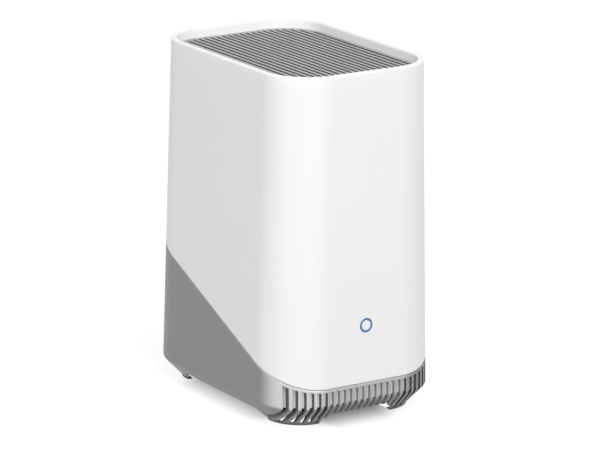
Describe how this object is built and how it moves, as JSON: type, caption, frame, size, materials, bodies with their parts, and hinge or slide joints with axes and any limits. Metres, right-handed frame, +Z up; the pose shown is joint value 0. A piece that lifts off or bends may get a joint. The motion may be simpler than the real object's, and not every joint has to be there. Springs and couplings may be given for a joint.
{
  "type": "security camera base station",
  "caption": "Tall rounded base station box: white shell over a comb-slotted grey base on four corner feet, slatted top grille, status ring, rear sockets and a drive tray underneath.",
  "frame": {"origin": "middle of the footprint on the floor, under the middle of the body's width and depth", "axes": "+Z up, -Y out of the front face with the status ring, +X to the right as seen from the front"},
  "size_m": [0.098, 0.1334, 0.178],
  "materials": {
    "white_plastic": "fine satin moulded plastic",
    "grey_plastic": "fine satin moulded plastic with a faint metallic grey",
    "grille_plastic": "satin moulded plastic",
    "dark_rubber": "matt moulded rubber",
    "ring_light": "clear light guide, lit blue",
    "circuit_board": "solder mask",
    "lamp_resin": "clear resin",
    "steel": "plated steel",
    "steel_sheet": "plated sheet steel",
    "cast_metal": "cast and machined",
    "black_plastic": "moulded plastic",
    "chip_resin": "moulded resin",
    "pad_rubber": "soft silicone",
    "shield_metal": "tin-plated sheet",
    "contact_metal": "gold-plated",
    "cone_plastic": "pressed cone",
    "foam": "closed-cell foam",
    "antenna_film": "printed film",
    "lead_black": "soft cable jacket",
    "cable_white": "laminated flat cable"
  },
  "bodies": {
    "root": {"antenna_leads": "lead_black", "antennas": "antenna_film", "base_housing": "grey_plastic", "bay_screws": "steel", "board_screws": "steel", "bridge_connector": "black_plastic", "cable_sockets": "black_plastic", "chips": "chip_resin", "drive_bay": "black_plastic", "ethernet_contacts": "contact_metal", "ethernet_jack": "black_plastic", "foot_pads": "dark_rubber", "heat_sink": "cast_metal", "housing_screws": "steel", "lead_plugs": "contact_metal", "led_board": "circuit_board", "led_cable": "cable_white", "led_screws": "steel", "main_board": "circuit_board", "power_jack": "black_plastic", "power_pin": "contact_metal", "radio_shield": "shield_metal", "rear_board": "circuit_board", "rear_board_screws": "steel", "rear_cable": "cable_white", "reset_switch": "black_plastic", "ring_plug": "white_plastic", "sata_board": "circuit_board", "sata_socket": "black_plastic", "sink_pins": "steel", "speaker_box": "black_plastic", "speaker_driver": "cone_plastic", "speaker_gasket": "foam", "speaker_lead": "lead_black", "speaker_plug": "cable_white", "speaker_screws": "steel", "status_leds": "lamp_resin", "status_ring": "ring_light", "sync_switch": "black_plastic", "thermal_pad": "pad_rubber", "top_grille": "grille_plastic", "upper_shell": "white_plastic", "usb_socket": "shield_metal", "usb_tongue": "black_plastic"},
    "drive_tray": {"drive_screws": "steel", "drive_tray": "steel_sheet", "storage_drive": "cast_metal", "tray_cover": "grey_plastic", "tray_screw": "steel"},
    "sync_button": {"sync_button": "grey_plastic", "sync_plunger": "white_plastic"},
    "reset_plunger": {"reset_plunger": "white_plastic"}
  },
  "joints": [
    {"name": "tray_slide", "type": "slide", "parent": "root", "child": "drive_tray", "axis": [0, 0, -1], "range_m": [0, 0.1]},
    {"name": "sync_press", "type": "slide", "parent": "root", "child": "sync_button", "axis": [0, -1, 0], "range_m": [0, 0.0005], "stiffness_N_per_m": 1500},
    {"name": "reset_press", "type": "slide", "parent": "root", "child": "reset_plunger", "axis": [0, -1, 0], "range_m": [0, 0.0003], "stiffness_N_per_m": 1500}
  ]
}
